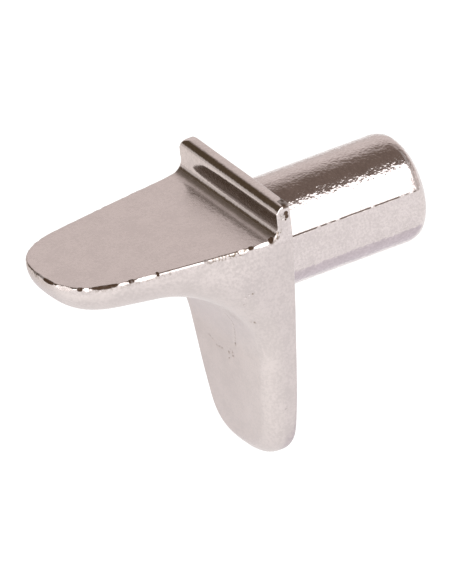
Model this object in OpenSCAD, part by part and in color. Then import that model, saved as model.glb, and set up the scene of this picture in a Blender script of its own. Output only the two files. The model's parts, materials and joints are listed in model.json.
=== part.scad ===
// Shelf support pin: a one-piece zinc casting, nickel plated.
// A round pin goes into a 5 mm hole in the cabinet's side. The tapered tongue
// carries the shelf, the low lip keeps the shelf off the cabinet's side, and
// the leg below stops the support from tilting.
// Origin: the pin's axis at the back of the plate. +Y runs out along the pin,
// the tongue reaches towards -Y, +Z is up, and X = 0 is the plane of symmetry.

/* [Pin] */
// Diameter of the pin
pin_d = 5; // [4:0.1:6]
// Length of the pin, from the back of the plate to its end
pin_l = 7.9; // [6:0.05:12]
// Radius of the rounded rim at the pin's end
pin_rim_r = 0.7; // [0.2:0.05:1]
// Width of the narrow flat that runs along each side of the pin
pin_flat_w = 1.6; // [0.4:0.1:2]

/* [Plate] */
// Width across the lip and the roots of the tongue and the leg
plate_w = 8.4; // [7.5:0.1:10]
// Height of the tongue's top above the pin's axis
shelf_h = 2; // [1.5:0.1:3]
// Radius of the hollow under the tongue, where it turns down into the leg
crook_r = 4.4; // [4:0.1:5.4]
// Radius of the small edges on the tongue's top and the leg's back
edge_r = 0.12; // [0.05:0.01:0.2]

/* [Lip] */
// Height of the lip above the tongue's top
lip_h = 1.6; // [1:0.05:3]
// Thickness of the lip
lip_t = 0.72; // [0.7:0.01:1]
// Radius of the lip's rounded front edge at its top
lip_top_r = 0.48; // [0.1:0.01:0.48]
// Radius of the lip's two top corners, seen from the front
lip_corner_r = 0.4; // [0.2:0.05:0.8]
// Radius of the fillet between the lip and the tongue
lip_fillet_r = 0.48; // [0.2:0.02:0.8]

/* [Tongue] */
// Reach of the tongue, from the back of the plate to its nose
tongue_l = 10.4; // [10:0.1:13]
// Width of the tongue where its round nose starts
nose_w = 6.35; // [5.6:0.05:7]
// Length of the round nose
nose_l = 2.8; // [2.2:0.1:3]
// Squareness of the nose, where 2 is an ellipse
nose_square = 2.7; // [2:0.1:3]
// Thickness of the tongue at its nose
nose_t = 1.45; // [1.4:0.05:1.8]
// Thickness that the tongue's slope reaches at the back of the plate
root_t = 2.05; // [1.8:0.05:2.3]
// Radius of the rounded edge under the tongue
under_r = 1.25; // [0.5:0.05:1.25]

/* [Leg] */
// Length of the leg below the tongue's top
leg_l = 11.9; // [11:0.1:14]
// Width of the leg where its round tip starts
tip_w = 5.3; // [4.4:0.1:6]
// Length of the round tip
tip_l = 2; // [1.5:0.1:2.4]
// Squareness of the tip, where 2 is an ellipse
tip_square = 2.75; // [2:0.05:3]
// Thickness that the leg's slope reaches at the tongue's top
leg_top_t = 1.95; // [1.8:0.05:2.2]
// Thickness of the leg at its tip
leg_tip_t = 1.45; // [1.2:0.05:1.7]
// Radius of the rounded edge along the leg's front
leg_edge_r = 0.5; // [0.2:0.05:0.6]
// Radius that the leg's back edge grows to at the tip
tip_edge_r = 0.5; // [0.2:0.05:0.6]

/* [Hidden] */
$fn = 96;

nickel = [0.78, 0.75, 0.72];
bite = 0.5;              // how far one form runs into the next, so that they join
tongue_bow = 1.2;        // above 1, the tongue's sides bow slightly outwards
leg_bow = 1.15;          // the same, for the leg's sides
side_blend = 3;          // how sharply the leg's taper takes over from the tongue's
end_steps = 12;          // stations round the nose, and round the tip
run_steps = 5;           // stations along the straight of the tongue, and of the leg
bend_steps = 12;         // stations round the crook, an even number
rim_steps = 4;           // steps round the edge under the tongue and along the leg
edge_steps = 3;          // steps round the edge on the tongue's top and the leg's back

// The crook is an arc that touches the sloping underside of the tongue and the
// sloping front of the leg.
under_slope = (root_t - nose_t) / tongue_l;
front_slope = (leg_top_t - leg_tip_t) / leg_l;
under_offset = shelf_h - root_t - crook_r * sqrt(1 + pow(under_slope, 2));
front_offset = front_slope * shelf_h - leg_top_t - crook_r * sqrt(1 + pow(front_slope, 2));
crook_y = (front_offset - front_slope * under_offset) / (1 - under_slope * front_slope);
crook_z = under_offset - under_slope * crook_y;
crook_start = atan(under_slope);
crook_end = 90 - atan(front_slope);

// Distances along the strip, which runs from the nose, over the tongue's top,
// round the corner and down the back to the leg's tip.
strip_l = tongue_l + leg_l;
bend_start = tongue_l + crook_point(crook_start)[0];
bend_end = tongue_l + shelf_h - crook_point(crook_end)[1];

function crook_point(a) = [crook_y + crook_r * sin(a), crook_z + crook_r * cos(a)];

// Angle on the crook that faces a distance along the strip
function crook_angle(s) =
    let (middle = (crook_start + crook_end) / 2)
    s < tongue_l
        ? crook_start + (middle - crook_start) * (s - bend_start) / (tongue_l - bend_start)
        : middle + (crook_end - middle) * (s - tongue_l) / (bend_end - tongue_l);

// [y, z] on the tongue's top and the plate's back
function outer_point(s) =
    s < tongue_l ? [s - tongue_l, shelf_h] : [0, shelf_h + tongue_l - s];

// [y, z] on the tongue's underside, the crook and the leg's front
function inner_point(s) =
    s < bend_start ? [s - tongue_l, shelf_h - nose_t - under_slope * s]
    : s <= bend_end ? crook_point(crook_angle(s))
    : [front_slope * (s - tongue_l) - leg_top_t, shelf_h + tongue_l - s];

// Half the width at [y, z]: the tongue narrows forwards and the leg downwards
function half_w(p) =
    let (
        forward = max(0, -p[0] - lip_t) / (tongue_l - nose_l - lip_t),
        down = max(0, shelf_h - p[1]) / (leg_l - tip_l)
    )
    plate_w / 2 - blend(
        (plate_w - nose_w) / 2 * pow(forward, tongue_bow),
        (plate_w - tip_w) / 2 * pow(down, leg_bow));

// The greater of two lengths, with a smooth change from one to the other
function blend(a, b) = pow(pow(a, side_blend) + pow(b, side_blend), 1 / side_blend);

// Radius of the edge on the inner side, which changes over along the crook
function inner_edge_r(s) =
    under_r + (leg_edge_r - under_r) * min(1, max(0, (s - bend_start) / (bend_end - bend_start)));

// Radius of the edge on the outer side, which fades out under the lip and grows
// over the last part of the leg, two tip lengths long
function outer_edge_r(s) =
    edge_r * min(1, max(0, abs(s - tongue_l) / lip_t - 1))
    + (tip_edge_r - edge_r) * pow(max(0, 1 - (strip_l - s) / (2 * tip_l)), 2);

// A station is [distance along the strip, quarter-turn angle of a round end].
// The angle is 0 at the very end and 90 where the straight sides start.
stations = concat(
    [for (i = [0 : end_steps - 1]) [0, 90 * i / end_steps]],
    [for (i = [0 : run_steps - 1]) [nose_l + (bend_start - nose_l) * i / run_steps, 90]],
    [for (i = [0 : bend_steps / 2 - 1])
        [bend_start + (tongue_l - bend_start) * i / (bend_steps / 2), 90]],
    [for (i = [0 : bend_steps / 2 - 1])
        [tongue_l + (bend_end - tongue_l) * i / (bend_steps / 2), 90]],
    [for (i = [0 : run_steps - 1])
        [bend_end + (strip_l - tip_l - bend_end) * i / run_steps, 90]],
    [for (i = [end_steps : -1 : 0]) [strip_l, 90 * i / end_steps]]
);

// A layer is [0 on the outer edge or 1 on the inner edge, angle round that edge]
layers = concat(
    [for (i = [edge_steps : -1 : 0]) [0, 90 * i / edge_steps]],
    [for (i = [0 : rim_steps]) [1, 90 * i / rim_steps]]
);

// Distance along the strip of a station, pulled in from a round end by inset
function station_s(st, inset) =
    st[0] == 0 ? nose_l - (nose_l - inset) * pow(cos(st[1]), 2 / nose_square)
    : st[0] == strip_l
        ? strip_l - tip_l + (tip_l - inset) * pow(cos(st[1]), 2 / tip_square)
    : st[0];

// Share of the full width that a station has
function station_share(st) =
    st[0] == 0 ? pow(sin(st[1]), 2 / nose_square)
    : st[0] == strip_l ? pow(sin(st[1]), 2 / tip_square)
    : 1;

function strip_vertex(st, layer, side) =
    let (
        r = layer[0] == 0 ? outer_edge_r(st[0]) : inner_edge_r(st[0]),
        inset = r * (1 - cos(layer[1])),
        sunk = r * (1 - sin(layer[1])),
        s = station_s(st, inset),
        outer = outer_point(s),
        inner = inner_point(s),
        share = sunk / norm(inner - outer),
        p = outer + (inner - outer) * (layer[0] == 0 ? share : 1 - share)
    )
    [side * station_share(st) * (half_w(p) - inset), p[0], p[1]];

// Tongue, crook and leg: one strip with rounded edges
module bent_strip() {
    last = len(stations) - 1;
    ring = 2 * last;
    top = len(layers) - 1;
    points = [for (layer = layers) each concat(
        [for (i = [0 : last]) strip_vertex(stations[i], layer, 1)],
        [for (i = [last - 1 : -1 : 1]) strip_vertex(stations[i], layer, -1)])];
    walls = [for (k = [0 : top - 1], i = [0 : ring - 1])
        let (a = k * ring + i, b = k * ring + (i + 1) % ring)
        each [[a, b, b + ring], [a, b + ring, a + ring]]];
    outer_cap = [for (i = [0 : last - 1])
        let (a = i, b = i + 1, c = (ring - i) % ring, d = (ring - i - 1) % ring)
        each [if (c != a) [a, c, b], if (d != b) [c, d, b]]];
    inner_cap = [for (f = outer_cap) [for (i = [2, 1, 0]) f[i] + top * ring]];
    polyhedron(points, concat(walls, outer_cap, inner_cap));
}

// Front view of the lip, with rounded top corners
module lip_front() {
    flat_w = plate_w - 2 * lip_corner_r;
    translate([-plate_w / 2, 0]) square([plate_w, lip_h - lip_corner_r]);
    translate([-flat_w / 2, 0]) square([flat_w, lip_h]);
    for (side = [-1, 1])
        translate([side * flat_w / 2, lip_h - lip_corner_r]) circle(lip_corner_r);
}

// Side view of the lip: x is depth from the plate's back, y is height. The top is
// rounded widely at the front and slightly at the back.
module lip_side() {
    square([lip_t, lip_h - lip_top_r]);
    square([lip_t - lip_top_r, lip_h - edge_r]);
    translate([edge_r, 0]) square([lip_t - lip_top_r - edge_r, lip_h]);
    translate([edge_r, lip_h - edge_r]) circle(edge_r);
    translate([lip_t - lip_top_r, lip_h - lip_top_r]) circle(lip_top_r);
}

module lip() {
    translate([0, 0, shelf_h]) intersection() {
        rotate([90, 0, 0]) linear_extrude(lip_t) lip_front();
        translate([-plate_w / 2, 0, 0])
            rotate([90, 0, 90]) linear_extrude(plate_w) mirror([1, 0]) lip_side();
    }
    // the lip's foot inside the plate
    foot_w = plate_w - 2 * bite;
    translate([-foot_w / 2, -lip_t + edge_r, shelf_h - bite])
        cube([foot_w, lip_t - 2 * edge_r, 2 * bite]);
}

// Small hollow fillet where the lip stands on the tongue
module lip_fillet() {
    fillet_w = 2 * half_w([-lip_t - lip_fillet_r, shelf_h]) - edge_r;
    translate([-fillet_w / 2, -lip_t - lip_fillet_r, shelf_h - edge_r])
        difference() {
            cube([fillet_w, lip_fillet_r + edge_r, lip_fillet_r + edge_r]);
            translate([-bite, 0, lip_fillet_r + edge_r])
                rotate([0, 90, 0]) cylinder(r = lip_fillet_r, h = fillet_w + 2 * bite);
        }
}

// Round pin with a rounded rim, and a narrow flat on each side
module pin() {
    flat_x = sqrt(pow(pin_d / 2, 2) - pow(pin_flat_w / 2, 2));
    rotate([-90, 0, 0]) intersection() {
        translate([0, 0, -bite]) union() {
            cylinder(d = pin_d, h = pin_l + bite - pin_rim_r);
            cylinder(r = pin_d / 2 - pin_rim_r, h = pin_l + bite);
            translate([0, 0, pin_l + bite - pin_rim_r])
                rotate_extrude()
                    translate([pin_d / 2 - pin_rim_r, 0]) intersection() {
                        circle(pin_rim_r);
                        square(pin_rim_r);
                    }
        }
        translate([-flat_x, -pin_d, -bite]) cube([2 * flat_x, 2 * pin_d, pin_l + 2 * bite]);
    }
}

module shelf_support_pin() {
    color(nickel) union() {
        bent_strip();
        lip();
        lip_fillet();
        pin();
    }
}

shelf_support_pin();
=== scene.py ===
"""Looks of the shelf support pin: a nickel-plated die casting in a light tent.

The casting's surface is a smooth distance field. Its outer sizes come from the frame, and its
finer ones stand below. A voxel mesh of the CAD node gives the faces, and each vertex is moved
onto the field's surface, so the rounded edges, the fillets and the casting's small faults are
all real geometry.
"""
import itertools
import json
import math

import bmesh
import bpy
import numpy as np
from mathutils import Matrix, Vector


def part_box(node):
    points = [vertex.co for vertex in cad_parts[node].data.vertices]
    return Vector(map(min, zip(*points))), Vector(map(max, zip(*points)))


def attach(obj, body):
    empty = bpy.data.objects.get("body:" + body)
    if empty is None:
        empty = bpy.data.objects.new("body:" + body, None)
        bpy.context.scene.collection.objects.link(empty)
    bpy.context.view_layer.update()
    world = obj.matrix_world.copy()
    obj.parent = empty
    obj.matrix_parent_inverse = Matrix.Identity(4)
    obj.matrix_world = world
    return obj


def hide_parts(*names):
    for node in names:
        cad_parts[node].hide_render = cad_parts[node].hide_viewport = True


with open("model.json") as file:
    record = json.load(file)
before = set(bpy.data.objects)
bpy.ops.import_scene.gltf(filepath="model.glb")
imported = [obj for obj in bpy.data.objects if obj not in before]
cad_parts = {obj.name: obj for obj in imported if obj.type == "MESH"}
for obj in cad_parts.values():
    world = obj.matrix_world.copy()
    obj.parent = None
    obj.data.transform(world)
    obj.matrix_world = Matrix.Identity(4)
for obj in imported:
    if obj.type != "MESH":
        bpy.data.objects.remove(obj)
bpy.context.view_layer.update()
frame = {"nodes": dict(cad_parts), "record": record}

MM = 0.001
TINY = 1e-6  # keeps divisors and blends off zero
NODE = "shelf_support_pin"
SLOT = "nickel_plate"


# ---------------------------------------------------------------- sizes, in millimetres
# Right is +X, the tongue points along -Y and the pin's axis lies at x = 0, z = 0. The plate's
# back is at y = 0. A pair of values is where a change starts and where it stops.
def mount(name):
    """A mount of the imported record."""
    return next(m for m in frame["record"]["mounts"] if m["name"] == name)


box_lo, box_hi = [np.array(corner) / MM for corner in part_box(NODE)]

PLATE_HALF_W = box_hi[0]
NOSE_Y = box_lo[1]
PIN_END_Y = box_hi[1]
LIP_TOP_Z = box_hi[2]
TIP_Z = box_lo[2]
SHELF_Z = mount("shelf_rest")["pos_m"][2] / MM

# The pin
PIN_R = mount("pin")["dims"]["r_mm"]
PIN_FLAT_HALF_W = 0.8
PIN_FLAT_X = math.sqrt(PIN_R**2 - PIN_FLAT_HALF_W**2)
PIN_FLAT_BLEND = 0.08           # how softly a flat's lower edge meets the round
PIN_FLAT_SOFTENS = (-0.4, 0.4)  # depths below the axis: the upper edges are sharp
PIN_CONE_L = 0.56
PIN_CONE_ANGLE = math.radians(30)
PIN_CONE_EDGE_R = 0.12
PIN_END_R = 0.4
PIN_ROOT_R = 0.12
PIN_BITE = 0.5                  # how far the pin runs on inside the plate

# The lip, and the top of the tongue
LIP_T = 0.72
LIP_TOP_R = 0.48
LIP_TOP_FALL = 0.08           # how much lower the lip's top is at its right end
LIP_CORNER_R = 0.4
LIP_RIGHT_CORNER_R = 0.15
LIP_FILLET_R = 0.53
RISE_Y = -1.88                # where the tongue's top starts to rise towards the lip's foot
RISE_SLOPE = 0.07
RISE_START_BLEND = 0.4
RISE_STOP_BLEND = 0.2
EDGE_R = 0.11                 # edges of the tongue's top, the lip and the plate's back
EDGE_SETS_IN = (-0.6, -0.25)  # distances outside the sides, where the top's edge sets in
LIP_END_EDGE_R = 0.04         # the lip's right end is broken off sharp
LIP_END_SETS_IN = (0.2, 0.5)  # heights above the tongue's top

# The tongue
NOSE_HALF_W = 3.175
NOSE_L = 2.8
NOSE_SQUARE = 2.7  # 2 is an ellipse, and more is squarer
NOSE_T = 1.45
ROOT_T = 2.05
UNDER_R = 1.25
TONGUE_BOW = 1.2   # 1 is a straight side, and more bows outwards

# The leg
TIP_HALF_W = 2.71
TIP_L = 2.0
TIP_SQUARE = 2.75
TIP_EDGE_R = 0.5
TIP_FRONT_R = 0.8
TIP_CHANGE_L = 2 * TIP_L      # how far up from the tip its edges change to the leg's
LEG_TOP_T = 1.95
LEG_TIP_T = 1.45
LEG_EDGE_R = 0.5
LEG_RIGHT_EDGE_R = 0.8
LEG_CROWN = 0.027             # how fast the leg's front bends back on its right side
LEG_CROWN_X = -0.1            # where it starts to
LEG_CROWN_SETS_IN = (0.5, 3)  # depths below the pin's axis
LEG_BOW = 1.2

# Between them
CROOK_R = 4.4
CROOK_EDGE_CHANGE = (0.45, 1)  # shares of the crook's turn, from the tongue's edge to the leg's
SIDE_BLEND = 3                 # how sharply the tongue's taper takes over from the leg's
RIGHT_CHANGE = (-1, 1)         # x, from the left side's edges to the right side's


# ---------------------------------------------------------------- tools for distance fields
def round_and(a, b, r):
    """Distance to the overlap of two solids, with the edge between them rounded by r."""
    return np.minimum(np.maximum(a, b), -r) + np.hypot(np.maximum(a + r, 0), np.maximum(b + r, 0))


def round_or(a, b, r):
    """Distance to the union of two solids, with a fillet of radius r between them."""
    return -round_and(-a, -b, r)


def smooth_step(value, start, stop):
    """0 before start and 1 after stop, with a smooth change between them."""
    part = np.clip((value - start) / (stop - start), 0, 1)
    return part * part * (3 - 2 * part)


def soft_max(a, b, blend):
    """The greater of a and b, with a smooth change where they differ by less than blend."""
    near = np.maximum(0, 1 - np.abs(a - b) / blend)
    return np.maximum(a, b) + blend * near**2 / 4


def gradient(field, points, step=0.004):
    """Slope of a field at each point, by central differences."""
    slopes = [
        (field(points + step * axis) - field(points - step * axis)) / (2 * step)
        for axis in np.eye(3)
    ]
    return np.stack(slopes, axis=1)


def unit(vectors):
    """The same directions, each with a length of 1."""
    return vectors / np.linalg.norm(vectors, axis=1)[:, None]


LATTICE_SEED = 5
LATTICE_SIZE = 32
LATTICE = np.random.default_rng(LATTICE_SEED).uniform(-1, 1, (LATTICE_SIZE,) * 3)


def lumps(points, size):
    """Smooth noise between -1 and 1, with lumps about `size` millimetres across."""
    cell = np.floor(points / size).astype(int)
    part = points / size - cell
    part = part * part * (3 - 2 * part)
    total = np.zeros(len(points))
    for corner in itertools.product((0, 1), repeat=3):
        share = np.prod(np.where(corner, part, 1 - part), axis=1)
        total += share * LATTICE[tuple((cell + corner).T % LATTICE_SIZE)]
    return total


# ---------------------------------------------------------------- the casting's form
def half_width(y, z):
    """Half the strip's width: the tongue narrows forwards and the leg downwards."""
    forward = np.maximum(0, -y - LIP_T) / (-NOSE_Y - NOSE_L - LIP_T)
    down = np.maximum(0, SHELF_Z - z) / (SHELF_Z - TIP_Z - TIP_L)
    tongue = (PLATE_HALF_W - NOSE_HALF_W) * forward**TONGUE_BOW
    leg = (PLATE_HALF_W - TIP_HALF_W) * down**LEG_BOW
    return PLATE_HALF_W - (tongue**SIDE_BLEND + leg**SIDE_BLEND) ** (1 / SIDE_BLEND)


def end_outline(x, w, past, length, square):
    """Distance outside straight sides that close in a round end.

    The end starts where `past` is 0 and is `length` long.
    """
    across = np.abs(x) / w
    along = np.maximum(0, past) / length
    size = (across**square + along**square) ** (1 / square)
    size = np.maximum(size, TINY)
    steep = np.hypot((across / size) ** (square - 1) / w, (along / size) ** (square - 1) / length)
    return (size - 1) / np.maximum(steep, TINY)


def inner_face(y, z):
    """Distance into the open corner from the tongue's underside, the crook and the leg's front."""
    under_slope = (ROOT_T - NOSE_T) / -NOSE_Y
    front_slope = (LEG_TOP_T - LEG_TIP_T) / (SHELF_Z - TIP_Z)
    below = SHELF_Z - NOSE_T - under_slope * (y - NOSE_Y) - z
    before = front_slope * (SHELF_Z - z) - LEG_TOP_T - y
    below = below / math.hypot(1, under_slope)
    before = before / math.hypot(1, front_slope)
    return round_or(below, before, CROOK_R)


def front_face(y, z):
    """Distance above the tongue's top, the fillet and the lip's front."""
    rise_run = soft_max(y - RISE_Y, 0, RISE_START_BLEND) - soft_max(y + LIP_T, 0, RISE_STOP_BLEND)
    return round_or(z - SHELF_Z - RISE_SLOPE * rise_run, -LIP_T - y, LIP_FILLET_R)


def side_faces(x, y, z):
    """Distance outside the strip's two sides, its nose and its tip."""
    w = half_width(y, z)
    nose = end_outline(x, w, NOSE_Y + NOSE_L - y, NOSE_L, NOSE_SQUARE)
    tip = end_outline(x, w, TIP_Z + TIP_L - z, TIP_L, TIP_SQUARE)
    return np.maximum(nose, tip)


def turned(y, z):
    """0 under the tongue and 1 on the leg's front, changing along the crook."""
    crook_y, crook_z = -LEG_TOP_T - CROOK_R, SHELF_Z - ROOT_T - CROOK_R
    angle = np.arctan2(y - crook_y, z - crook_z)
    return np.clip(angle / (math.pi / 2), 0, 1)


def bracket(x, y, z):
    """Distance to the tongue, lip, crook and leg."""
    sides = side_faces(x, y, z)
    to_tip = np.clip(1 - (z - TIP_Z) / TIP_CHANGE_L, 0, 1) ** 2
    right = smooth_step(x, *RIGHT_CHANGE)
    leg_r = LEG_EDGE_R + (LEG_RIGHT_EDGE_R - LEG_EDGE_R) * right
    inner_r = UNDER_R + (leg_r - UNDER_R) * smooth_step(turned(y, z), *CROOK_EDGE_CHANGE)
    inner_r += (TIP_FRONT_R - leg_r) * to_tip
    bent_back = LEG_CROWN * np.maximum(0, x - LEG_CROWN_X) ** 2
    bent_back *= smooth_step(-z, *LEG_CROWN_SETS_IN)
    body = round_and(sides, inner_face(y - bent_back, z), inner_r)
    over_lip = z - LIP_TOP_Z + LIP_TOP_FALL * (0.5 + x / (2 * PLATE_HALF_W))
    body = round_and(body, over_lip, LIP_CORNER_R + (LIP_RIGHT_CORNER_R - LIP_CORNER_R) * right)
    front = round_and(front_face(y, z), over_lip, LIP_TOP_R)
    lip_end = right * smooth_step(z - SHELF_Z, *LIP_END_SETS_IN)
    edge_r = EDGE_R + (LIP_END_EDGE_R - EDGE_R) * lip_end
    body = round_and(body, front, edge_r * smooth_step(sides, *EDGE_SETS_IN))
    return round_and(body, y, EDGE_R + (TIP_EDGE_R - EDGE_R) * to_tip)


def pin(x, y, z):
    """Distance to the pin, which has a flat on each side and a blunt cone at its end."""
    round_wall = np.hypot(x, z) - PIN_R
    blend = PIN_FLAT_BLEND * smooth_step(-z, *PIN_FLAT_SOFTENS) + TINY
    wall = soft_max(round_wall, np.abs(x) - PIN_FLAT_X, blend)
    cone = round_wall * math.cos(PIN_CONE_ANGLE)
    cone += (y - PIN_END_Y + PIN_CONE_L) * math.sin(PIN_CONE_ANGLE)
    wall = round_and(wall, cone, PIN_CONE_EDGE_R)
    return round_and(wall, np.maximum(y - PIN_END_Y, -PIN_BITE - y), PIN_END_R)


def smooth_casting(points):
    """Distance to the casting before its edge was chipped."""
    x, y, z = points.T
    return round_or(bracket(x, y, z), pin(x, y, z), PIN_ROOT_R)


# ---------------------------------------------------------------- chips
# Facets broken along the right edge of the tongue's top: (x, y, half length, tilt, depth, stain).
# The tilt is from level, in degrees. The depth is taken off the sharp corner, and gets less
# towards the facet's ends. A stain of 1 is dark, and 0 is clean.
CHIPS = [
    (0.0, -10.4, 0.5, 35, 0.03, 0.7), (0.7, -10.32, 0.48, 45, 0.062, 1),
    (1.6, -10.05, 0.62, 67, 0.085, 0), (2.2, -9.6, 0.14, 50, 0.07, 1),
    (2.42, -9.38, 0.16, 64, 0.07, 0), (2.75, -8.7, 0.78, 36, 0.08, 1),
    (3.0, -7.95, 0.26, 56, 0.065, 0), (3.07, -7.55, 0.15, 35, 0.07, 0.9),
    (3.2, -6.9, 0.55, 57, 0.08, 0), (3.33, -6.35, 0.08, 30, 0.08, 1),
    (3.67, -4.14, 0.12, 40, 0.06, 0.6), (3.99, -2.5, 0.25, 57, 0.08, 0),
    (4.06, -2.05, 0.14, 35, 0.07, 0.9), (4.11, -1.55, 0.4, 57, 0.06, 0),
    (4.16, -1.1, 0.1, 35, 0.05, 0.9),
]
CHIP_STOP = 1.5       # half lengths from a facet's middle, where it has left the casting
CHIPPED_REACH = 0.35  # no facet reaches further than this from the edge
CHIPPED_X = -1.5      # the chipped stretch of the edge lies right of this
CHIPPED_Y = -0.5      # and in front of this
CHIP_FRAME_ROUNDS = 3


def chip_frame(x, y):
    """A point on the right edge of the tongue's top, and the level direction out of the side."""
    corner = np.array([x, y, SHELF_Z])
    for _ in range(CHIP_FRAME_ROUNDS):
        outward = gradient(lambda points: side_faces(*points.T), corner[None])[0]
        corner = corner - outward * side_faces(*corner) / (outward**2).sum()
    return corner, outward / np.linalg.norm(outward)


CHIP_FRAMES = [chip_frame(x, y) for x, y, *_ in CHIPS]


def chip_cuts(points):
    """For each chip: the points near the edge, how far they are past its facet, and its stain."""
    x, y, z = points.T
    near = np.flatnonzero((abs(z - SHELF_Z) < CHIPPED_REACH) & (x > CHIPPED_X) & (y < CHIPPED_Y))
    near = near[abs(side_faces(*points[near].T)) < CHIPPED_REACH]
    for (*_, reach, tilt, depth, stain), (corner, outward) in zip(CHIPS, CHIP_FRAMES):
        tilt = math.radians(tilt)
        away = points[near] - corner
        along = away @ np.cross(outward, (0, 0, 1)) / reach
        cut = away @ (outward * math.sin(tilt) + np.array([0, 0, math.cos(tilt)]))
        yield near, np.where(abs(along) < CHIP_STOP, cut + depth * (1 - along**4), -1), stain


def casting(points):
    """Distance to the whole casting, with the chips cut from the edge of the tongue's top."""
    distance = smooth_casting(points)
    for near, cut, _ in chip_cuts(points):
        distance[near] = np.maximum(distance[near], cut)
    return distance


# ---------------------------------------------------------------- the casting's faults
# Rough flash along the line where the die's halves met
FLASH_DROP = 0.1                  # how far below the tongue's top edge the line runs
FLASH_REACH = 0.17                # how far the rough band reaches to each side
PIN_FLASH_LOSS = 0.7              # the share of that reach that the band lacks on the pin
FLASH_HEIGHT = 0.03
FLASH_STRETCH = 0.9               # length of a rough or a clean stretch
FLASH_GAPS = (-0.5, 0.2)          # levels of the noise, from clean to rough
FLASH_LUMP = 0.22
FINE_FLASH_LUMP = 0.1
FINE_FLASH_SHARE = 0.4            # its height, as a share of the other lumps'
FINE_FLASH_SHIFT = 50             # so that the fine lumps don't follow the others
CLEAN_SIDE = 0.6                  # the share of flash that is gone from the tongue's right side
CLEAN_SIDE_REACH = (2.5, 5)       # distances before the plate's back
CLEAN_NOSE = 0.4
CLEAN_NOSE_REACH = (9, 10)
CLEAN_LIP_END = 0.85              # gone from the lip's right end
CLEAN_LIP_END_RISE = (0.25, 0.5)  # heights above the tongue's top

# Dark lines at the upper edges of the pin's flats, partly dark flash and partly painted shade in
# their groove, and a painted shade line where its cone begins
LINE_REACH = 0.045
FLAT_LINE_STRENGTH = 0.7
FLAT_LINE_SQUASH = 0.8      # its distance up and down counts for less than outwards
FLAT_LINE_CORE = 0.4        # the share of its reach with the full strength
FLAT_LINE_START_Y = 0.1
FLAT_LINE_LUMP = 0.25
FLAT_LINE_LONG_LUMP = 1.4
FLAT_LINE_LONG_SHARE = 0.5
FLAT_LINE_GAPS = (-0.8, 0)  # levels of the noise, from a gap to the line
FLAT_LINE_DEPTH = 0.02
CONE_LINE_OFFSET = 0.02     # how far past the cone's start its line runs
CONE_LINE_DEPTH = 0.15      # the line lies on the wall, no deeper than this
CONE_LINE_Z = (0.7, 0.8)
CONE_LINE_X = (0.9, 1.2)

# Pits, as (across, z, radius): across is x on the leg's front and y on the right side
FRONT_PITS = [
    (0.12, -4.92, 0.07), (0.42, -4.78, 0.07), (0.45, -5.0, 0.06), (0.8, -4.2, 0.06),
    (0.3, -4.68, 0.04), (0.05, -5.25, 0.05), (3.27, -2.02, 0.08),
]
SIDE_PITS = [
    (-2.5, -0.76, 0.055), (-2.5, -0.36, 0.045), (-2.35, -0.28, 0.04), (-2.16, -0.29, 0.045),
    (-0.6, -7.04, 0.05), (-0.43, 3.06, 0.1), (-0.44, 2.92, 0.07),
]
PIT_DEPTH = 0.022
FRONT_Y = -0.3  # what lies before this isn't the back

# Fine scratches on the leg's front, as (x, z) to (x, z)
SCRATCHES = [
    ((-1.6, -4.7), (-1.1, -4.85)), ((-0.95, -5.0), (-0.4, -4.95)), ((1.22, -2.3), (1.36, -2.8)),
    ((1.36, -2.8), (0.97, -3.75)), ((0.97, -3.75), (0.8, -4.3)),
]
SCRATCH_DEPTH = 0.012
SCRATCH_HALF_W = 0.045

# Dark stains on the lip's right end, as (y, z, radius), and in the chips, with painted shade on the
# lip's top at its right end
LIP_END_STAINS = [(-0.26, 3.13, 0.11), (-0.23, 2.97, 0.1), (-0.3, 2.83, 0.05)]
LIP_STAIN_FADE = (0.7, 1.4)   # in radii
LIP_STAINS_AND_SHADE_RISE = 0.5         # they lie higher than this above the tongue's top
LIP_TOP_SHADE = 0.75          # how dark the painted shade on the lip's top is at its right end
LIP_TOP_SHADE_LUMP = 0.22
LIP_TOP_SHADE_GAPS = (-0.4, 0.2)
LIP_TOP_SHADE_X = (2.4, 3.5)
LIP_TOP_SHADE_Z = (3.3, 3.4)
LIP_TOP_SHADE_Y = -0.36       # it lies behind this
CHIP_STAIN_FADE = (-0.06, 0)  # distances past a chip's facet
STAIN_AND_SHADE_LUMP = 0.13
STAIN_AND_SHADE_LUMP_SHARE = 0.25

WAVE_SIZE = 1.7
WAVE_HEIGHT = 0.004


def flash_band(points):
    """1 on the die's parting line, falling to 0 at the edge of its rough band.

    The line follows the edge of the tongue's top, the lip's ends and the pin's flats.
    """
    x, y, z = points.T
    bracket_line = np.hypot(front_face(y, z) + FLASH_DROP, side_faces(x, y, z))
    pin_line = np.hypot(np.abs(x) - PIN_FLAT_X, np.abs(z) - PIN_FLAT_HALF_W)
    distance = np.where(y > 0, pin_line + PIN_FLASH_LOSS * FLASH_REACH, bracket_line)
    return np.clip(1 - distance / FLASH_REACH, 0, 1)


def roughness_of_flash(points):
    """How rough the flash is: it comes and goes, and the nose and the right side are cleaner."""
    x, y, z = points.T
    clean_side = CLEAN_SIDE * (x > 0) * smooth_step(-y, *CLEAN_SIDE_REACH)
    clean_nose = CLEAN_NOSE * smooth_step(-y, *CLEAN_NOSE_REACH)
    clean_end = CLEAN_LIP_END * (x > 0) * smooth_step(z - SHELF_Z, *CLEAN_LIP_END_RISE)
    rough = smooth_step(lumps(points, FLASH_STRETCH), *FLASH_GAPS)
    return rough * (1 - clean_side - clean_nose) * (1 - clean_end)


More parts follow.
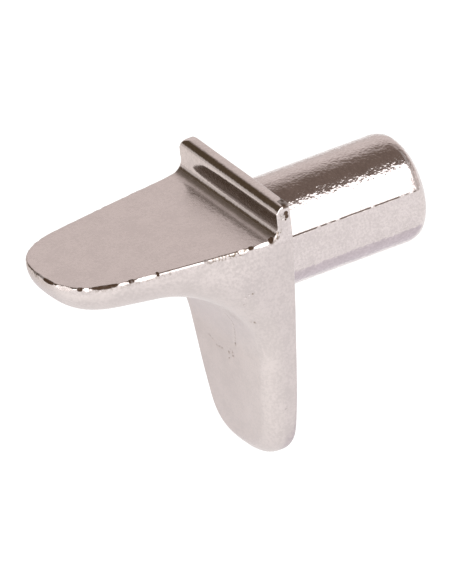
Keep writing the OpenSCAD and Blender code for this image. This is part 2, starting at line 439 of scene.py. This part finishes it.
def flat_lines(points, reach=LINE_REACH):
    """How strong the dark lines at the flats' upper edges are, partly dark flash and partly painted
    shade: broken up, and 0 beside them.
    """
    x, y, z = points.T
    edge = np.hypot(np.hypot(x, z) - PIN_R, (z - PIN_FLAT_HALF_W) * FLAT_LINE_SQUASH)
    edge = np.where(y > FLAT_LINE_START_Y, edge, 1)
    noise = lumps(points, FLAT_LINE_LUMP)
    noise += FLAT_LINE_LONG_SHARE * lumps(points, FLAT_LINE_LONG_LUMP)
    strength = FLAT_LINE_STRENGTH * smooth_step(noise, *FLAT_LINE_GAPS)
    return strength * (1 - smooth_step(edge, FLAT_LINE_CORE * reach, reach))


def cone_shade_line(points, reach=LINE_REACH):
    """1 along the painted shade line on the right side of the edge where the pin's cone begins, and
    0 beside it.
    """
    x, y, z = points.T
    edge = np.abs(y - PIN_END_Y + PIN_CONE_L - CONE_LINE_OFFSET)
    line = 1 - smooth_step(edge, reach, 2 * reach)
    line *= np.hypot(x, z) > PIN_R - CONE_LINE_DEPTH
    return line * smooth_step(z, *CONE_LINE_Z) * smooth_step(x, *CONE_LINE_X)


def pits(points):
    """1 in the middle of a pit, falling to 0 around it."""
    x, y, z = points.T
    depth = np.zeros(len(points))
    front = (y < FRONT_Y) & (z < 0)
    right = x > PLATE_HALF_W / 2
    for places, face, across in ((FRONT_PITS, front, x), (SIDE_PITS, right, y)):
        for place, height, radius in places:
            away2 = (across - place) ** 2 + (z - height) ** 2
            depth = np.maximum(depth, face * np.exp(-away2 / radius**2))
    return depth


def scratches(points):
    """1 along the fine scratches on the leg's front, falling to 0 beside them."""
    x, y, z = points.T
    depth = np.zeros(len(points))
    for (x0, z0), (x1, z1) in SCRATCHES:
        length2 = (x1 - x0) ** 2 + (z1 - z0) ** 2
        along = np.clip(((x - x0) * (x1 - x0) + (z - z0) * (z1 - z0)) / length2, 0, 1)
        away2 = (x - x0 - along * (x1 - x0)) ** 2 + (z - z0 - along * (z1 - z0)) ** 2
        depth = np.maximum(depth, (y < FRONT_Y) * np.exp(-away2 / SCRATCH_HALF_W**2))
    return depth


def stains_and_shade(points):
    """Near 1 where the lip's right end or a chip is stained dark, or where the lip's top has
    painted shade at its right end, and 0 elsewhere.
    """
    x, y, z = points.T
    end = (x > 0) & (z > SHELF_Z + LIP_STAINS_AND_SHADE_RISE)
    top = end & (y > LIP_TOP_SHADE_Y)
    patchy = smooth_step(lumps(points, LIP_TOP_SHADE_LUMP), *LIP_TOP_SHADE_GAPS)
    near_corner = smooth_step(x, *LIP_TOP_SHADE_X) * smooth_step(z, *LIP_TOP_SHADE_Z)
    # painted shade on the lip's rounded top at its right end
    dark = LIP_TOP_SHADE * top * patchy * near_corner
    for place, height, radius in LIP_END_STAINS:
        away = np.hypot(y - place, z - height) / radius
        dark = np.maximum(dark, end * (1 - smooth_step(away, *LIP_STAIN_FADE)))
    for near, cut, stain in chip_cuts(points):
        dark[near] = np.maximum(dark[near], stain * smooth_step(cut, *CHIP_STAIN_FADE))
    return dark * (1 - STAIN_AND_SHADE_LUMP_SHARE + STAIN_AND_SHADE_LUMP_SHARE * lumps(points, STAIN_AND_SHADE_LUMP))


def relief(points):
    """Height of the faults over the smooth form: flash, pits, scratches and slight waves."""
    fine = lumps(points + FINE_FLASH_SHIFT, FINE_FLASH_LUMP)
    rough = lumps(points, FLASH_LUMP) + FINE_FLASH_SHARE * fine
    height = FLASH_HEIGHT * flash_band(points) * roughness_of_flash(points) * rough
    height -= PIT_DEPTH * pits(points)
    height -= SCRATCH_DEPTH * scratches(points)
    height -= FLAT_LINE_DEPTH * flat_lines(points)
    return height + WAVE_HEIGHT * lumps(points, WAVE_SIZE)


def cast_surface(points):
    """Distance to the casting, with its faults."""
    return casting(points) - relief(points)


# ---------------------------------------------------------------- mesh of the casting
VOXEL = 0.12
EVEN_ROUNDS = 4
EVEN_SHARE = 0.5        # how far towards its neighbours' middle a vertex moves
PULL_ROUNDS = 3
SHORT_PULL_ROUNDS = 2   # where the vertices lie near the surface already
SPLIT_BENDS = (12, 20)  # degrees that a face bends before it is split, in each round
SPLIT_FAULTS = 0.05     # a fault stronger than this splits a face as well
FLAT_LINE_SPLIT_REACH = 0.16
CONE_LINE_SPLIT_REACH = 0.08


def voxel_copy(node, voxel):
    """A new mesh object with even faces, from a copy of a CAD node."""
    mesh = bpy.data.meshes.new_from_object(frame["nodes"][node])
    piece = bpy.data.objects.new("casting", mesh)
    bpy.context.scene.collection.objects.link(piece)
    remesh = piece.modifiers.new("remesh", "REMESH")
    remesh.mode = "VOXEL"
    remesh.voxel_size = voxel * MM
    graph = bpy.context.evaluated_depsgraph_get()
    even = bpy.data.meshes.new_from_object(piece.evaluated_get(graph))
    piece.modifiers.clear()
    piece.data = even
    return piece


def vertex_points(mesh):
    """The vertices' places, in millimetres."""
    points = np.empty(len(mesh.vertices) * 3)
    mesh.vertices.foreach_get("co", points)
    return points.reshape(-1, 3) / MM


def move_vertices(mesh, points):
    """Moves the vertices to places in millimetres."""
    mesh.vertices.foreach_set("co", (points * MM).ravel())


def edge_ends(mesh):
    """The two vertices of each edge."""
    ends = np.empty(len(mesh.edges) * 2, dtype=int)
    mesh.edges.foreach_get("vertices", ends)
    return ends.reshape(-1, 2)


def even_out(points, edges, share):
    """Moves each point towards the middle of its neighbours."""
    total = np.zeros_like(points)
    count = np.zeros(len(points))
    for a, b in ((0, 1), (1, 0)):
        np.add.at(total, edges[:, a], points[edges[:, b]])
        np.add.at(count, edges[:, a], 1)
    return points + share * (total / count[:, None] - points)


def pull_to_surface(field, points, rounds):
    """Newton steps onto the surface where the field is zero."""
    for _ in range(rounds):
        slope = gradient(field, points)
        length2 = np.maximum((slope**2).sum(axis=1), TINY)
        move = slope * (field(points) / length2)[:, None]
        points = points - np.clip(move, -VOXEL, VOXEL)
    return points


def face_means(mesh, values):
    """Mean over each face of a value or vector held at the vertices."""
    corners = np.empty(len(mesh.loops), dtype=int)
    mesh.loops.foreach_get("vertex_index", corners)
    starts = np.empty(len(mesh.polygons), dtype=int)
    mesh.polygons.foreach_get("loop_start", starts)
    counts = np.diff(np.append(starts, len(corners)))
    return (np.add.reduceat(values[corners], starts).T / counts).T


def split_faces(mesh, chosen):
    """Splits each chosen face in four."""
    bm = bmesh.new()
    bm.from_mesh(mesh)
    bm.faces.ensure_lookup_table()
    edges = {edge for index in np.flatnonzero(chosen) for edge in bm.faces[index].edges}
    edges = sorted(edges, key=lambda edge: edge.index)
    bmesh.ops.subdivide_edges(bm, edges=edges, cuts=1, use_grid_fill=True)
    bm.to_mesh(mesh)
    bm.free()


def add_detail(mesh):
    """Splits the faces on small round edges and at the casting's faults, in two rounds."""
    for bend in SPLIT_BENDS:
        points = vertex_points(mesh)
        normals = unit(gradient(casting, points))
        flatness = np.linalg.norm(face_means(mesh, normals), axis=1)
        bent = flatness < math.cos(math.radians(bend / 2))
        faults = np.max([
            flash_band(points), pits(points), scratches(points), stains_and_shade(points),
            flat_lines(points, FLAT_LINE_SPLIT_REACH), cone_shade_line(points, CONE_LINE_SPLIT_REACH),
        ], axis=0)
        split_faces(mesh, bent | (face_means(mesh, faults) > SPLIT_FAULTS))
        move_vertices(mesh, pull_to_surface(casting, vertex_points(mesh), SHORT_PULL_ROUNDS))


def build_casting():
    """The casting: a voxel mesh of the CAD node, moved onto the cast surface and painted."""
    piece = voxel_copy(NODE, VOXEL)
    mesh = piece.data
    edges = edge_ends(mesh)
    points = pull_to_surface(casting, vertex_points(mesh), PULL_ROUNDS)
    for _ in range(EVEN_ROUNDS):
        points = even_out(points, edges, EVEN_SHARE)
        points = pull_to_surface(casting, points, SHORT_PULL_ROUNDS)
    move_vertices(mesh, points)
    add_detail(mesh)
    points = pull_to_surface(cast_surface, vertex_points(mesh), PULL_ROUNDS)
    move_vertices(mesh, points)
    mesh.shade_smooth()
    mesh.update()
    mesh.normals_split_custom_set_from_vertices(unit(gradient(cast_surface, points)))
    paint(mesh, points)
    return piece


# Where the finish changes. RISE is a height above the tongue's top.
FINISHED_FRONT = (0.04, 0.12)  # distances before the plate's back, which keeps plain satin
LIP_FRONT_RISE = (0.08, 0.26)
SHELF_TOP_RISE = (-0.3, -0.05)
FILLET_START_Y = (-1.7, -1.2)
FILLET_STOP_Y = (-0.6, -0.4)
FILLET_TOP_RISE = (0.16, 0.32)
PIN_POLISH_Y = (0, 0.3)
PIN_GRAIN_Y = (0.05, 0.3)
BRACKET_GRAIN = 0.22           # how grainy the bracket is, beside 1 on the pin
SHELF_TOP_POLISH = 0.6         # the share of the satin that the tongue's top has lost
FLASH_TARNISH = (0, 0.6)       # shares of the flash band
SCRATCH_TARNISH = 0.5
CONE_SHADE_STRENGTH = 0.42


def paint(mesh, points):
    """Stores, at each vertex, what the material needs to know about the place."""
    y, rise = points[:, 1], points[:, 2] - SHELF_Z
    flash = smooth_step(flash_band(points), *FLASH_TARNISH) * roughness_of_flash(points)
    finished = smooth_step(-y, *FINISHED_FRONT)
    lip_front = finished * smooth_step(rise, *LIP_FRONT_RISE)
    shelf_top = finished * smooth_step(rise, *SHELF_TOP_RISE)
    fillet = smooth_step(y, *FILLET_START_Y) * (1 - smooth_step(y, *FILLET_STOP_Y))
    fillet *= shelf_top * (1 - smooth_step(rise, *FILLET_TOP_RISE))
    # the flats' lines are partly dark flash and partly painted shade, and the cone's line is
    # painted shade
    lines = np.maximum(flat_lines(points), CONE_SHADE_STRENGTH * cone_shade_line(points))
    satin = (1 - smooth_step(y, *PIN_POLISH_Y)) * (1 - lip_front)
    values = {
        "tarnish": np.maximum(flash, np.maximum(pits(points), SCRATCH_TARNISH * scratches(points))),
        "mark": np.maximum(lines, stains_and_shade(points)),
        "grainy": BRACKET_GRAIN + (1 - BRACKET_GRAIN) * smooth_step(y, *PIN_GRAIN_Y),
        "fillet": fillet,
        "satin": satin * (1 - SHELF_TOP_POLISH * shelf_top),
    }
    for name, value in values.items():
        layer = mesh.attributes.new(name, "FLOAT", "POINT")
        layer.data.foreach_set("value", value.astype(np.float32))


# ---------------------------------------------------------------- shader helpers
def new_node(tree, kind, **settings):
    """A new node of a tree, with some of its settings."""
    node = tree.nodes.new(kind)
    for name, value in settings.items():
        setattr(node, name, value)
    return node


def math_node(tree, operation, a, b):
    """A Math node; a and b are sockets or numbers."""
    node = new_node(tree, "ShaderNodeMath", operation=operation)
    for socket, value in zip(node.inputs, (a, b)):
        if isinstance(value, (int, float)):
            socket.default_value = value
        else:
            tree.links.new(value, socket)
    return node.outputs[0]


def times(tree, a, b):
    """The product of two sockets or numbers."""
    return math_node(tree, "MULTIPLY", a, b)


def ramp_node(tree, value, start, stop, low=0.0, high=1.0):
    """A smooth change from low to high while value goes from start to stop."""
    node = new_node(tree, "ShaderNodeMapRange", interpolation_type="SMOOTHSTEP")
    tree.links.new(value, node.inputs["Value"])
    node.inputs["From Min"].default_value = start
    node.inputs["From Max"].default_value = stop
    node.inputs["To Min"].default_value = low
    node.inputs["To Max"].default_value = high
    return node.outputs["Result"]


def mix_colour(tree, factor, a, b):
    """A colour mix; a and b are sockets or RGB triples.

    The Mix node's sockets for colours are its inputs 6 and 7 and its output 2.
    """
    node = new_node(tree, "ShaderNodeMix", data_type="RGBA")
    tree.links.new(factor, node.inputs["Factor"])
    for socket, value in ((node.inputs[6], a), (node.inputs[7], b)):
        if isinstance(value, tuple):
            socket.default_value = (*value, 1.0)
        else:
            tree.links.new(value, socket)
    return node.outputs[2]


def dot_node(tree, vector, direction):
    """How far a vector socket reaches along a fixed direction."""
    node = new_node(tree, "ShaderNodeVectorMath", operation="DOT_PRODUCT")
    tree.links.new(vector, node.inputs[0])
    node.inputs[1].default_value = direction
    return node.outputs["Value"]


def noise_node(tree, size, detail=2.0):
    """Noise from 0 to 1 in the object's own space, with lumps about `size` millimetres across."""
    place = new_node(tree, "ShaderNodeTexCoord").outputs["Object"]
    node = new_node(tree, "ShaderNodeTexNoise")
    tree.links.new(place, node.inputs["Vector"])
    node.inputs["Scale"].default_value = 1 / (size * MM)
    node.inputs["Detail"].default_value = detail
    return node.outputs["Fac"]


def painted(tree, name):
    """A value that was stored at the mesh's vertices."""
    return new_node(tree, "ShaderNodeAttribute", attribute_name=name).outputs["Fac"]


# ---------------------------------------------------------------- nickel plate
NICKEL = (0.685, 0.618, 0.605)
NICKEL_DULL = (0.605, 0.545, 0.533)
NICKEL_SATIN = (0.62, 0.558, 0.545)
NICKEL_SATIN_DULL = (0.556, 0.501, 0.489)
SATIN_COLOUR = (0.4, 1)       # amounts of satin, from the bright nickel's colours to its own
TARNISH = (0.2, 0.15, 0.11)
TARNISH_SPECK_SIZE = 0.12
TARNISH_SPECKS = (0.45, 0.6)  # levels of the noise, from bare to tarnished
STAIN_AND_SHADE = (0.05, 0.026, 0.014)
STAIN_AND_SHADE_SHOWS = (0.1, 0.7)      # amounts of the stored mark, which holds stains and painted shade
STAIN_AND_SHADE_ROUGHNESS = 0.55
STAIN_AND_SHADE_SHINE = 0.2

# Mottle: shares of three noises, and the levels of their sum from dull to bright
CLOUD_SIZE = 0.9
CLOUD_SHARE = 0.3
GRAIN_SIZE = 0.13  # millimetres across a grain of the cast surface
GRAIN_SHARE = 0.45
FINE_GRAIN_SIZE = 0.06
FINE_GRAIN_SHARE = 0.25
GRAIN_DETAIL = 1.0
MOTTLE = (0.4, 0.6)

POLISHED = 0.15
SATIN_BETWEEN_GRAINS = 0.3
SATIN_ON_GRAINS = 0.43
SATIN_GRAINS = (0.4, 0.65)  # levels of the noise, from between grains to on them
CLOUD_ROUGHNESS = 0.06      # how much the clouds change the roughness
FILLET_ROUGHNESS = 0.37

GRAIN_HEIGHT = 0.017
COARSE_GRAIN_SIZE = 0.35
COARSE_GRAIN_SHARE = 1.5  # its height, as a share of the grain's


def nickel():
    """Bright nickel on a cast surface: grainy, mottled, satin on the bracket, brown at faults, dark
    where shade is painted.
    """
    mat = bpy.data.materials.new(SLOT)
    mat.use_nodes = True
    tree = mat.node_tree
    tree.nodes.clear()
    out = new_node(tree, "ShaderNodeOutputMaterial")
    bsdf = new_node(tree, "ShaderNodeBsdfPrincipled")
    tree.links.new(bsdf.outputs[0], out.inputs["Surface"])

    satin = painted(tree, "satin")
    clouds = noise_node(tree, CLOUD_SIZE)
    grain = noise_node(tree, GRAIN_SIZE, GRAIN_DETAIL)
    fine_grain = noise_node(tree, FINE_GRAIN_SIZE, GRAIN_DETAIL)
    mark = ramp_node(tree, painted(tree, "mark"), *STAIN_AND_SHADE_SHOWS)

    mottle = math_node(tree, "ADD", times(tree, clouds, CLOUD_SHARE),
                       times(tree, grain, GRAIN_SHARE))
    mottle = math_node(tree, "ADD", mottle, times(tree, fine_grain, FINE_GRAIN_SHARE))
    satin_colour = ramp_node(tree, satin, *SATIN_COLOUR)
    bright = mix_colour(tree, satin_colour, NICKEL, NICKEL_SATIN)
    dull = mix_colour(tree, satin_colour, NICKEL_DULL, NICKEL_SATIN_DULL)
    colour = mix_colour(tree, ramp_node(tree, mottle, *MOTTLE), dull, bright)
    specks = ramp_node(tree, noise_node(tree, TARNISH_SPECK_SIZE), *TARNISH_SPECKS)
    colour = mix_colour(tree, times(tree, painted(tree, "tarnish"), specks), colour, TARNISH)
    # dark stains, and painted shade along the pin's lines and on the lip's top
    colour = mix_colour(tree, mark, colour, STAIN_AND_SHADE)
    tree.links.new(colour, bsdf.inputs["Base Color"])
    tree.links.new(math_node(tree, "SUBTRACT", 1.0, mark), bsdf.inputs["Metallic"])
    bsdf.inputs["Specular IOR Level"].default_value = STAIN_AND_SHADE_SHINE

    satin_roughness = ramp_node(tree, grain, *SATIN_GRAINS, SATIN_BETWEEN_GRAINS, SATIN_ON_GRAINS)
    finish = new_node(tree, "ShaderNodeMix", data_type="FLOAT")
    tree.links.new(satin, finish.inputs["Factor"])
    finish.inputs["A"].default_value = POLISHED
    tree.links.new(satin_roughness, finish.inputs["B"])
    uneven = times(tree, math_node(tree, "SUBTRACT", clouds, 0.5), CLOUD_ROUGHNESS)
    roughness = math_node(tree, "ADD", finish.outputs["Result"], uneven)
    at_fillet = times(tree, painted(tree, "fillet"), FILLET_ROUGHNESS)
    roughness = math_node(tree, "MAXIMUM", roughness, at_fillet)
    roughness = math_node(tree, "MAXIMUM", roughness, times(tree, mark, STAIN_AND_SHADE_ROUGHNESS))
    tree.links.new(roughness, bsdf.inputs["Roughness"])

    bump = new_node(tree, "ShaderNodeBump")
    bump.inputs["Distance"].default_value = GRAIN_HEIGHT * MM
    tree.links.new(painted(tree, "grainy"), bump.inputs["Strength"])
    coarse = times(tree, noise_node(tree, COARSE_GRAIN_SIZE), COARSE_GRAIN_SHARE)
    tree.links.new(math_node(tree, "ADD", grain, coarse), bump.inputs["Height"])
    tree.links.new(bump.outputs[0], bsdf.inputs["Normal"])
    return mat


# ---------------------------------------------------------------- light tent
WHITE_PANEL = (2.6, 2.6, 2.6)
GREY_PANEL = (0.87, 0.795, 0.77)
GREY_PANEL_FOOT = (0.71, 0.645, 0.625)
HORIZON = (0.72, 0.68, 0.65)
HORIZON_AHEAD = (2.2, 2.15, 2.1)
DARK_TOP = (0.21, 0.16, 0.135)
DARK_FRONT = (0.1, 0.072, 0.045)
BACKDROP = (1.0, 1.0, 1.0)

# The tent's parts, each as a direction and two dot products with it: at the first the part
# starts, and at the second it is whole. The last two values of "low" turn that round.
TENT_PARTS = {
    "back": ((0, 1, 0), -0.15, 0.15),
    "right": ((0.921, 0, -0.391), -0.06, 0.06),
    "not_behind": ((0.940, -0.342, 0), -0.03, 0.03),
    "left": ((-0.743, 0, -0.669), -0.38, 0.27),
    "left_foot": ((-0.743, 0, -0.669), 0.4, 0.75),
    "low": ((0, 0, 1), 0.16, 0.26, 1.0, 0.0),
    "ahead": ((0, -1, 0), 0.75, 0.9),
    "behind": ((0.35, 0.9, -0.25), 0.66, 0.86),
}


def light_tent():
    """The surroundings that the plating mirrors.

    The front half is dark over a light horizon. The back half is dark over the top, with a
    grey panel on the left and one behind. A white panel stands on the right. The camera itself
    sees a plain white backdrop.
    """
    world = bpy.data.worlds.new("light_tent")
    bpy.context.scene.world = world
    world.use_nodes = True
    tree = world.node_tree
    tree.nodes.clear()
    out = new_node(tree, "ShaderNodeOutputWorld")
    background = new_node(tree, "ShaderNodeBackground")
    tree.links.new(background.outputs[0], out.inputs["Surface"])
    way = new_node(tree, "ShaderNodeTexCoord").outputs["Generated"]
    part = {
        name: ramp_node(tree, dot_node(tree, way, direction), *limits)
        for name, (direction, *limits) in TENT_PARTS.items()
    }

    horizon = mix_colour(tree, part["ahead"], HORIZON, HORIZON_AHEAD)
    colour = mix_colour(tree, part["low"], DARK_FRONT, horizon)
    colour = mix_colour(tree, part["back"], colour, DARK_TOP)
    grey = mix_colour(tree, part["left_foot"], GREY_PANEL, GREY_PANEL_FOOT)
    colour = mix_colour(tree, times(tree, part["left"], part["back"]), colour, grey)
    white_area = times(tree, part["right"], part["not_behind"])
    colour = mix_colour(tree, white_area, colour, WHITE_PANEL)
    colour = mix_colour(tree, part["behind"], colour, GREY_PANEL)
    seen = new_node(tree, "ShaderNodeLightPath").outputs["Is Camera Ray"]
    colour = mix_colour(tree, seen, colour, BACKDROP)
    tree.links.new(colour, background.inputs["Color"])


# ---------------------------------------------------------------- floor
FLOOR_DROP = 25.0  # millimetres from the tip down to the floor
FLOOR_SIZE = 2000.0
FLOOR_GREY = (0.2, 0.2, 0.2, 1.0)
FLOOR_GLOW = 0.97
PLAIN = (1.0, 1.0, 1.0)
# Painted shades and a painted brighter patch on the floor, which the plating mirrors; the shade
# behind the part is a painted soft shadow
BEHIND_SHADE = (0.67, 0.635, 0.705)
FAR_LEFT_SHADE = (0.8, 0.755, 0.72)
LEFT_SHADE = (0.8, 0.77, 0.785)
RIGHT_SHADE = (0.94, 0.935, 0.95)
FRONT_RIGHT_GLOW = (1.35, 1.35, 1.32)

# Round patches, as the middle, the radius of the full shade and the radius where it ends
BEHIND_PATCH = ((-1, 20), 13, 21)
LEFT_PATCH = ((-46, -4), 14, 26)
RIGHT_PATCH = ((50, 24), 16, 28)
# Straight edges, as a direction and the distances along it where a shade starts and is full
BEHIND_EDGE = ((0, 1, 0), 6, 14)
FAR_LEFT_EDGE = ((-1, -0.1, 0), 40, 55)
FRONT_RIGHT_EDGE = ((0.46, -0.89, 0), 30, 45)
FRONT_RIGHT_END = ((0.46, -0.89, 0), 55, 66)
# These two keep the left shades off the floor behind the part in the picture
FAR_LEFT_LIMIT = ((-0.463, -0.886, 0), 15, 26)
LEFT_LIMIT = ((-0.463, -0.886, 0), 13, 18)


def round_patch(tree, place, middle, inner, outer):
    """1 within `inner` millimetres of a place on the floor and 0 beyond `outer`."""
    away = new_node(tree, "ShaderNodeVectorMath", operation="DISTANCE")
    tree.links.new(place, away.inputs[0])
    away.inputs[1].default_value = (middle[0] * MM, middle[1] * MM, 0)
    return ramp_node(tree, away.outputs["Value"], inner * MM, outer * MM, 1.0, 0.0)


def straight_edge(tree, place, direction, start, stop, low=0.0, high=1.0):
    """A change from low to high between two distances along a direction on the floor."""
    return ramp_node(tree, dot_node(tree, place, direction), start * MM, stop * MM, low, high)


def floor():
    """Pale floor that glows, with broad soft painted shades, a painted soft shadow behind the part
    and a painted brighter patch, for the plating to mirror.
    """
    height = TIP_Z - FLOOR_DROP
    bpy.ops.mesh.primitive_plane_add(size=FLOOR_SIZE * MM, location=(0, 0, height * MM))
    plane = bpy.context.object
    plane.name = "floor"
    mat = bpy.data.materials.new("floor_white")
    mat.use_nodes = True
    tree = mat.node_tree
    bsdf = tree.nodes["Principled BSDF"]
    bsdf.inputs["Base Color"].default_value = FLOOR_GREY
    bsdf.inputs["Roughness"].default_value = 1.0
    bsdf.inputs["Specular IOR Level"].default_value = 0.0
    bsdf.inputs["Emission Strength"].default_value = FLOOR_GLOW

    place = new_node(tree, "ShaderNodeTexCoord").outputs["Object"]
    far_left = times(tree, straight_edge(tree, place, *FAR_LEFT_EDGE),
                     straight_edge(tree, place, *FAR_LEFT_LIMIT))
    behind = times(tree, round_patch(tree, place, *BEHIND_PATCH),
                   straight_edge(tree, place, *BEHIND_EDGE))
    left = times(tree, round_patch(tree, place, *LEFT_PATCH),
                 straight_edge(tree, place, *LEFT_LIMIT))
    right = round_patch(tree, place, *RIGHT_PATCH)
    front_right = times(tree, straight_edge(tree, place, *FRONT_RIGHT_EDGE),
                        straight_edge(tree, place, *FRONT_RIGHT_END, 1.0, 0.0))
    colour = mix_colour(tree, front_right, PLAIN, FRONT_RIGHT_GLOW)
    colour = mix_colour(tree, far_left, colour, FAR_LEFT_SHADE)
    colour = mix_colour(tree, left, colour, LEFT_SHADE)
    colour = mix_colour(tree, right, colour, RIGHT_SHADE)
    colour = mix_colour(tree, behind, colour, BEHIND_SHADE)
    tree.links.new(colour, bsdf.inputs["Emission Color"])
    plane.data.materials.append(mat)


# ---------------------------------------------------------------- camera
CAMERA_AZIMUTH = 62.4
CAMERA_ELEVATION = 28.1
CAMERA_ROLL = 6.5
CAMERA_DISTANCE = 800.0
SENSOR_WIDTH = 24.0
PICTURE_HEIGHT = 25.44  # millimetres of height that the picture covers at the part
PICTURE_RIGHT = -0.99   # the picture's middle, from the pin's axis at the plate's back
PICTURE_UP = -2.27
NEAREST = 10.0
FURTHEST = 10000.0


def camera():
    """The camera at the photograph's viewing angle, far off with a long lens."""
    azimuth, elevation, roll = map(math.radians, (CAMERA_AZIMUTH, CAMERA_ELEVATION, CAMERA_ROLL))
    level_right = Vector((math.cos(azimuth), math.sin(azimuth), 0))
    towards = Vector((
        math.sin(azimuth) * math.cos(elevation),
        -math.cos(azimuth) * math.cos(elevation),
        math.sin(elevation),
    ))
    level_up = towards.cross(level_right)
    right = level_right * math.cos(roll) - level_up * math.sin(roll)
    up = towards.cross(right)
    place = towards * CAMERA_DISTANCE + right * PICTURE_RIGHT + up * PICTURE_UP
    data = bpy.data.cameras.new("camera")
    data.sensor_width = SENSOR_WIDTH
    data.lens = SENSOR_WIDTH * CAMERA_DISTANCE / PICTURE_HEIGHT
    data.clip_start = NEAREST * MM
    data.clip_end = FURTHEST * MM
    cam = bpy.data.objects.new("camera", data)
    turn = Matrix((right, up, towards)).transposed()
    cam.matrix_world = Matrix.Translation(place * MM) @ turn.to_4x4()
    bpy.context.scene.collection.objects.link(cam)
    bpy.context.scene.camera = cam


# ---------------------------------------------------------------- scene
bpy.context.scene.view_settings.view_transform = "Standard"
camera()
light_tent()
floor()
piece = build_casting()
piece.data.materials.clear()
piece.data.materials.append(nickel())
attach(piece, "root")
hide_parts(NODE)
